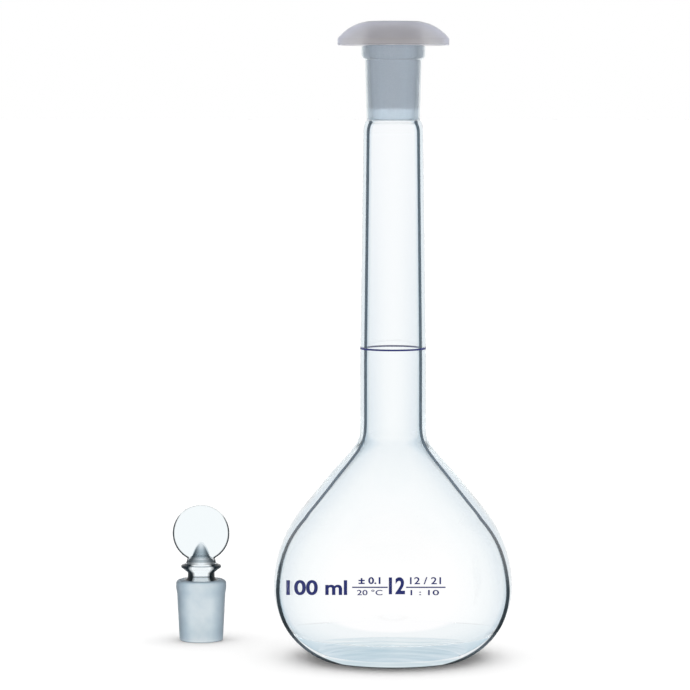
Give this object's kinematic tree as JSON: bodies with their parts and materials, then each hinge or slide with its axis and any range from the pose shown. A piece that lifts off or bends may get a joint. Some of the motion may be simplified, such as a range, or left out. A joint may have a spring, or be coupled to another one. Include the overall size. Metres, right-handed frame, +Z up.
{
  "type": "volumetric flask",
  "caption": "Pear-shaped glass flask with a long ringed neck, a ground socket and a polyethylene stopper, and a ground glass stopper standing beside it.",
  "frame": {"origin": "centre of the ring that the flask stands on, on the flask's axis", "axes": "+Z up along the flask's axis; the printed side faces -Y; +X to the right of a viewer who looks along +Y"},
  "size_m": [0.09, 0.0666, 0.1655],
  "materials": {
    "clear_glass": "fire-polished borosilicate",
    "ground_glass": "finely ground, frosted",
    "blue_enamel": "fired enamel",
    "polyethylene": "natural moulded polyethylene, satin",
    "stopper_glass": "pressed glass with a ground plug"
  },
  "bodies": {
    "flask": {"bulb": "clear_glass", "neck": "clear_glass", "ground_socket": "ground_glass", "graduation_ring": "blue_enamel"},
    "plastic_stopper": {"plastic_stopper": "polyethylene"},
    "glass_stopper": {"glass_stopper": "stopper_glass"}
  },
  "joints": [
    {"name": "plastic_stopper_lift", "type": "slide", "parent": "flask", "child": "plastic_stopper", "axis": [0, 0, 1], "range_m": [0, 0.06]},
    {"name": "glass_stopper_lift", "type": "slide", "parent": "flask", "child": "glass_stopper", "axis": [0, 0, 1], "range_m": [0, 0.06]}
  ]
}
